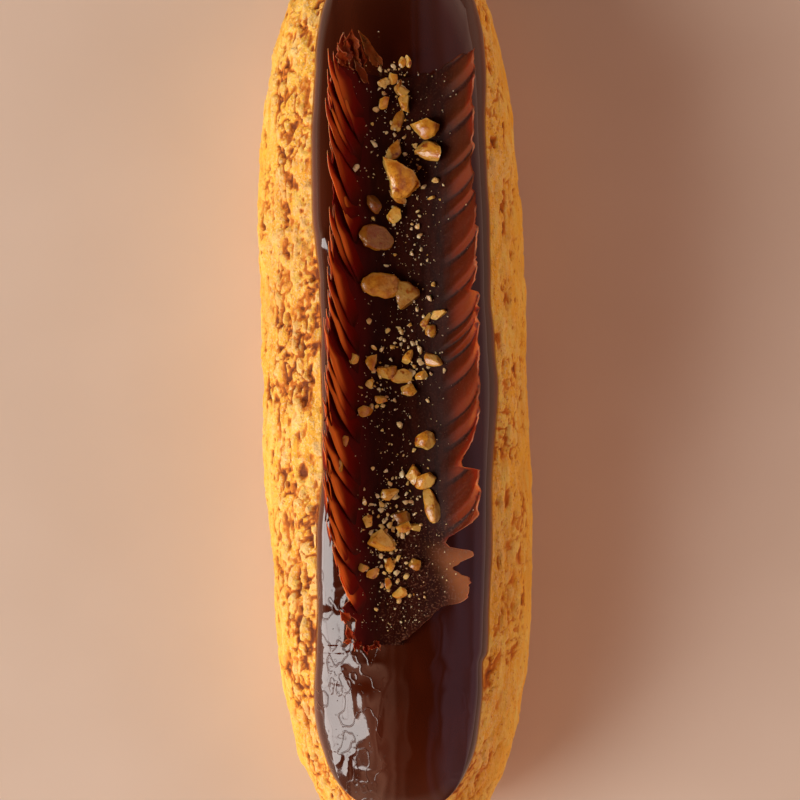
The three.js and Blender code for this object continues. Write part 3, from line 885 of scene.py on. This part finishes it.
# The larger pieces: x, y, length, width, turn in degrees, cuts and roast.
# A piece is chipped by MIN_CUTS planes more than its cuts, or by FLAT_TOP alone where cuts is SMOOTH.
# Known fault: bits past the curl's top edge hang over the glaze.
NUTS = [
    (0.3, 33.2, 6.2, 5.8, 100, 2, 0.15), (-3.3, 23.2, 4.8, 3.4, -12, -1, 0.7),
    (-2.4, 15.7, 5.4, 3.2, -4, -1, 0.35), (1.9, 13.7, 4.6, 3.6, -48, 4, 0.6),
    (4.6, 41.1, 4.4, 4.2, 0, 2, 0.3), (5.7, 36.8, 4.9, 2.9, -8, 5, 0.3),
    (-0.3, 37.0, 4.6, 1.8, 48, 4, 0.25), (0.3, 41.6, 3.6, 1.5, 68, 3, 0.45),
    (-2.0, 45.0, 2.7, 1.7, 80, 4, 0.1), (1.3, 44.5, 2.8, 2.2, 100, 4, 0.15),
    (1.0, 51.1, 1.8, 1.0, 88, 1, 0.0), (2.0, 51.3, 1.8, 0.9, 98, 1, 0.0),
    (-0.6, 48.6, 2.3, 1.3, 90, 4, 0.1), (0.4, 47.2, 2.6, 1.1, 75, 3, 0.4),
    (-1.9, 47.9, 1.7, 1.2, 20, 3, 0.0), (-3.6, 28.7, 3.4, 1.9, -62, 3, 0.9),
    (-0.3, 27.1, 2.7, 2.3, 100, 5, 0.0), (0.0, 29.9, 3.0, 1.4, -32, 4, 0.35),
    (1.1, 46.3, 1.8, 1.6, 0, 4, 0.1), (6.9, 11.3, 2.6, 1.9, 10, 3, 0.2), (4.6, 10.0, 3.4, 1.0, 68, 2, 0.3),
    (5.6, 8.4, 2.9, 1.5, 100, 2, 0.5), (-6.9, 4.2, 2.3, 1.8, 90, 4, 0.2), (-3.8, 3.6, 2.6, 2.0, 80, 4, 0.3),
    (-1.7, 2.0, 3.2, 2.7, 60, 4, 0.35), (1.0, 1.5, 3.7, 2.4, -8, 4, 0.3), (4.4, 1.4, 2.3, 1.5, 20, 4, 0.1),
    (5.8, 4.0, 3.5, 1.9, -20, 3, 0.3), (1.8, 4.3, 2.3, 1.6, 70, 4, 0.0), (-4.2, 0.0, 1.8, 1.3, 30, 4, 0.2),
    (1.9, -0.8, 3.1, 1.9, -30, 4, 0.2), (-5.0, -4.0, 2.3, 1.8, 15, 4, 0.3),
    (-2.3, -2.2, 2.1, 1.4, 0, 4, 0.2), (4.9, -8.7, 3.0, 2.5, 60, 3, 0.15),
    (2.7, -14.0, 3.6, 2.3, 75, 4, 0.1), (5.1, -14.9, 3.9, 2.4, 32, 3, 0.2),
    (5.9, -19.4, 5.6, 2.0, -70, 2, 0.35), (-1.2, -17.3, 3.2, 1.5, 5, 4, 0.2),
    (0.7, -20.7, 3.6, 1.9, 8, 3, 0.75), (-4.7, -21.6, 2.0, 1.6, 40, 4, 0.1),
    (1.1, -22.4, 2.8, 1.6, 20, 4, 0.3), (-2.4, -24.4, 5.2, 3.0, -20, 4, 0.25),
    (3.0, -22.6, 1.8, 1.3, -30, 4, 0.0), (-3.8, -29.8, 3.2, 1.6, 72, 3, 0.3),
    (-5.3, -28.8, 2.0, 1.4, 30, 4, 0.4), (3.0, -28.4, 2.1, 1.6, 0, 4, 0.55),
    (0.7, -32.8, 2.3, 1.5, 15, 3, 0.15), (-1.2, -31.6, 2.6, 1.0, -68, 4, 0.0),
    (-8.1, -8.7, 1.9, 1.1, 90, 4, 0.2), (-9.2, -13.1, 2.8, 1.6, 80, 4, 0.35),
    (-1.1, -28.5, 2.4, 1.7, 30, 4, 0.1),
]
# Patches of crumbs: middle x, y, half size in x and y, and how many.
CRUMB_PATCHES = [
    (-0.8, 48.6, 2.6, 2.8, 34), (0.5, 40.0, 4.0, 7.0, 44), (2.5, 30.0, 4.5, 6.0, 46),
    (2.5, 17.0, 5.0, 8.0, 34), (1.0, 4.0, 5.5, 5.0, 60), (-2.5, -1.5, 4.0, 4.0, 40),
    (0.5, -12.0, 5.5, 6.0, 34), (-1.8, -20.0, 4.8, 4.5, 80), (-1.2, -27.0, 3.4, 4.5, 80),
    (-3.2, 30.0, 4.0, 20.0, 22), (1.5, -35.0, 4.0, 4.0, 10),
]
DUST_COUNT = 1100
MIN_CUTS = 4
SMOOTH = -1
FLAT_TOP = [[0.08, 0.05, 1.0]]
BEFORE_CUTS = 1.24  # a piece's length and width before it is chipped, as a share of those listed


def ball(subdivisions):
    """Directions to an even ball's points, and its triangles."""
    shape = bmesh.new()
    bmesh.ops.create_icosphere(shape, subdivisions=subdivisions, radius=1)
    shape.verts.index_update()
    points = np.array([vert.co[:] for vert in shape.verts])
    faces = np.array([[vert.index for vert in face.verts] for face in shape.faces])
    shape.free()
    return points, faces


def chip(draw, directions, size, cuts, sink=0.1):
    """A chipped bit of nut that stands on z = -sink, and where it was cut."""
    points = directions * np.array(size) / 2
    cut = np.zeros(len(points))
    normals = draw.normal(size=(abs(cuts) + MIN_CUTS, 3))
    if cuts == SMOOTH:
        normals = np.array(FLAT_TOP)
    for normal in normals:
        normal = normal / np.linalg.norm(normal)
        along_it = points @ normal
        over = along_it - along_it.max() * draw.uniform(0.45, 0.85)
        points = points - np.maximum(over, 0)[:, None] * normal
        cut = np.maximum(cut, over > 0)
    lumps = noise(points + draw.uniform(0, 90), 1.2, 141) * 0.13 + noise(points, 0.45, 142) * 0.035
    points = points * (1 + lumps)[:, None]
    points[:, 2] -= points[:, 2].min() + sink
    return points, cut


def set_down(points, x, y, turn, lean):
    """Points turned about +Z, then set down on the trough's wall. lean shears them up towards +X."""
    a = math.radians(turn)
    local_x = points[:, 0] * math.cos(a) - points[:, 1] * math.sin(a)
    local_y = points[:, 0] * math.sin(a) + points[:, 1] * math.cos(a)
    local_z = points[:, 2] + lean * (local_x - local_x.min())
    foot, up = wall_place(x, y)
    right = np.array([up[2], 0, -up[0]])
    forward = np.array([0, 1.0, 0])
    return foot + local_x[:, None] * right + local_y[:, None] * forward + local_z[:, None] * up


def gather(name, material, bits, faces, sharp_angle):
    """One mesh of many bits with the same faces. A bit is its points, cut values, roast and paleness."""
    count = len(bits[0][0])
    points = np.concatenate([bit[0] for bit in bits])
    joined = np.concatenate([faces + count * k for k in range(len(bits))])
    layers = {
        "cut": np.concatenate([bit[1] for bit in bits]),
        "roast": np.repeat([bit[2] for bit in bits], count),
        "pale": np.repeat([bit[3] for bit in bits], count),
    }
    piece = make_piece(name, points, joined, material, layers, sharp_angle)
    return piece


def make_nuts(material):
    """Chopped hazelnut pieces, crumbs of them and fine dust, all set down on the trough."""
    draw = np.random.default_rng(77)
    directions, faces = ball(4)
    bits = []
    for x, y, length, width, turn, cuts, roast in NUTS:
        deep = width * (0.55 if cuts == SMOOTH else draw.uniform(0.5, 0.75))
        size = (length * BEFORE_CUTS, width * BEFORE_CUTS, deep)
        points, cut = chip(draw, directions, size, cuts)
        cut = cut * (0.25 if cuts == SMOOTH else 0.9)
        bits.append((set_down(points, x, y, turn, draw.uniform(-0.12, 0.12)), cut, roast, 0.0))
    gather("nut_pieces", material, bits, faces, math.radians(26))
    directions, faces = ball(2)
    bits = []
    for x, y, half_x, half_y, count in CRUMB_PATCHES:
        for _ in range(count):
            spot_x = x + half_x * np.clip(draw.normal() * 0.55, -1.3, 1.3)
            spot_y = y + half_y * np.clip(draw.normal() * 0.6, -1.3, 1.3)
            spot_x = np.clip(spot_x, along(LEFT_RIM, spot_y) + 1, along(RIGHT_RIM, spot_y) - 1)
            size = 0.3 + 1.0 * draw.uniform() ** 2.2
            shape = size * np.array([draw.uniform(0.9, 1.5), draw.uniform(0.6, 1.0), draw.uniform(0.4, 0.8)])
            points, cut = chip(draw, directions, shape, 4, 0.03)
            place = set_down(points, spot_x, spot_y, draw.uniform(0, 360), 0)
            bits.append((place, cut, draw.uniform(0, 0.35), draw.uniform(0, 0.8)))
    gather("nut_crumbs", material, bits, faces, math.radians(28))
    directions, faces = ball(1)
    bits = []
    for _ in range(DUST_COUNT):
        spot_y = draw.uniform(-39, 50)
        spot_x = CURL_CENTRE_X + draw.normal() * 4.2 - 1.0 * (spot_y < 0)
        size = 0.08 + 0.2 * draw.uniform() ** 2
        points, cut = chip(draw, directions, (size * 1.5, size, size * 0.7), 1, 0.02)
        spot_x = np.clip(spot_x, along(LEFT_RIM, spot_y) + 1, along(RIGHT_RIM, spot_y) - 1)
        place = set_down(points, spot_x, spot_y, draw.uniform(0, 360), 0)
        bits.append((place, np.ones_like(cut), 0.0, draw.uniform(0.4, 1)))
    gather("nut_dust", material, bits, faces, None)


# ---- Stage, light and camera ----


def area_light(name, place, target, width, height, radiance, colour):
    """A soft box at place that faces target, in metres. radiance is how bright its face is."""
    light = bpy.data.lights.new(name, "AREA")
    light.shape = "RECTANGLE"
    light.size, light.size_y = width, height
    light.energy = radiance * math.pi * width * height
    light.color = colour
    lamp = bpy.data.objects.new(name, light)
    lamp.location = place
    lamp.rotation_mode = "QUATERNION"
    lamp.rotation_quaternion = (Vector(target) - Vector(place)).to_track_quat("-Z", "Y")
    bpy.context.scene.collection.objects.link(lamp)
    return lamp


def make_stage():
    half = 3.0
    corners = [(-half, -half, 0), (half, -half, 0), (half, half, 0), (-half, half, 0)]
    mesh = bpy.data.meshes.new("floor")
    mesh.from_pydata(corners, [], [(0, 1, 2, 3)])
    finish = Finish("floor_finish", 0.9)
    paper = finish.noise(40, 2)
    finish.colour(finish.mix(finish.ramp(paper, 0.2, 0.8), srgb(226, 206, 186), srgb(232, 213, 194)))
    mesh.materials.append(finish.material)
    floor = bpy.data.objects.new("floor", mesh)
    floor.location = (0, 0, -0.0002)  # just under the base, so that the two never share a plane
    bpy.context.scene.collection.objects.link(floor)


def make_room():
    """A dim room: dark overhead, warm at the horizon, grey stripes on the right, brown ones by the window."""
    world = bpy.data.worlds.new("room")
    world.use_nodes = True
    tree = world.node_tree
    direction = tree.nodes.new("ShaderNodeSeparateXYZ")
    tree.links.new(tree.nodes.new("ShaderNodeTexCoord").outputs["Generated"], direction.inputs[0])

    def ramp(axis, low, stops):
        """Colours at places from low to 1 along an axis of the direction looked in."""
        span = tree.nodes.new("ShaderNodeMapRange")
        span.inputs["From Min"].default_value = low
        tree.links.new(direction.outputs[axis], span.inputs["Value"])
        node = tree.nodes.new("ShaderNodeValToRGB")
        node.color_ramp.interpolation = "EASE"
        while len(node.color_ramp.elements) < len(stops):
            node.color_ramp.elements.new(0.5)
        for element, (place, colour) in zip(node.color_ramp.elements, stops):
            element.position = (place - low) / (1 - low)
            element.color = (*colour, 1)
        tree.links.new(span.outputs["Result"], node.inputs[0])
        return node.outputs["Color"]

    def join(operation, a, b):
        node = tree.nodes.new("ShaderNodeMix")
        node.data_type = "RGBA"
        node.blend_type = operation
        node.inputs["Factor"].default_value = 1.0
        tree.links.new(a, node.inputs[6])
        tree.links.new(b, node.inputs[7])
        return node.outputs[2]

    heights = [(0.0, (0.85, 0.56, 0.38)), (0.2, (0.5, 0.3, 0.2)), (0.45, (0.18, 0.085, 0.05))]
    heights += [(0.95, (0.012, 0.008, 0.007))]
    warm = lambda level: (level, 0.5 * level, 0.32 * level)
    grey = lambda level: (0.92 * level, 0.7 * level, 1.0 * level)
    right = [(0.3, grey(0.0)), (0.38, grey(0.1)), (0.45, grey(0.03)), (0.56, grey(0.26)), (0.66, grey(0.16))]
    right += [(0.76, grey(0.34)), (0.95, grey(0.3))]
    left = [(-0.62, warm(0.0)), (-0.5, warm(1.1)), (-0.4, warm(0.7)), (-0.3, warm(1.2)), (-0.22, warm(0.3))]
    left += [(-0.15, warm(0.6)), (-0.07, warm(0.1)), (0.02, warm(0.22)), (0.1, warm(0.0))]
    towards_window = [(-0.34, (1, 1, 1)), (-0.06, (0, 0, 0))]
    near_foot = [(-0.08, (1, 1, 1)), (0.12, (0.55, 0.5, 0.45))]
    brown = join("MULTIPLY", ramp("X", -1.0, left), ramp("Y", -1.0, towards_window))
    purple_grey = join("MULTIPLY", ramp("X", -1.0, right), ramp("Y", -1.0, near_foot))
    total = join("ADD", join("ADD", brown, purple_grey), ramp("Z", 0.0, heights))
    tree.links.new(total, tree.nodes["Background"].inputs["Color"])
    bpy.context.scene.world = world


def make_lights():
    target = (0, 0, 0.02)
    area_light("window_upper", (-0.74, -0.30, 0.64), target, 0.62, 0.44, 6.8, (1.0, 0.97, 0.93))
    area_light("window_lower", (-0.80, -0.33, 0.24), target, 0.62, 0.34, 6.8, (1.0, 0.97, 0.93))
    fill = area_light("fill_right", (0.90, 0.02, 0.30), target, 1.0, 0.5, 1.42, (1.0, 0.75, 0.62))
    fill.visible_glossy = False  # it brightens the shaded crust without a streak in the glaze
    bpy.context.scene.view_settings.view_transform = "Standard"


def make_camera():
    camera = bpy.data.cameras.new("camera")
    camera.sensor_width = 36
    height_of_outline = 0.016  # the bun's widest part, whose width in the view is known
    distance = 0.679
    view_width = 0.1304
    camera.lens = camera.sensor_width * distance / view_width
    eye = bpy.data.objects.new("camera", camera)
    eye.location = (0.00058, -0.0024, height_of_outline + distance)
    camera.clip_end = 10
    bpy.context.scene.collection.objects.link(eye)
    bpy.context.scene.camera = eye


make_skin(choux_finish())
make_coat(glaze_finish())
shaved = curl_finish()
make_curl(shaved)
make_leaves(shaved)
make_shards(shaved)
make_nuts(nut_finish())
make_stage()
make_room()
make_lights()
make_camera()
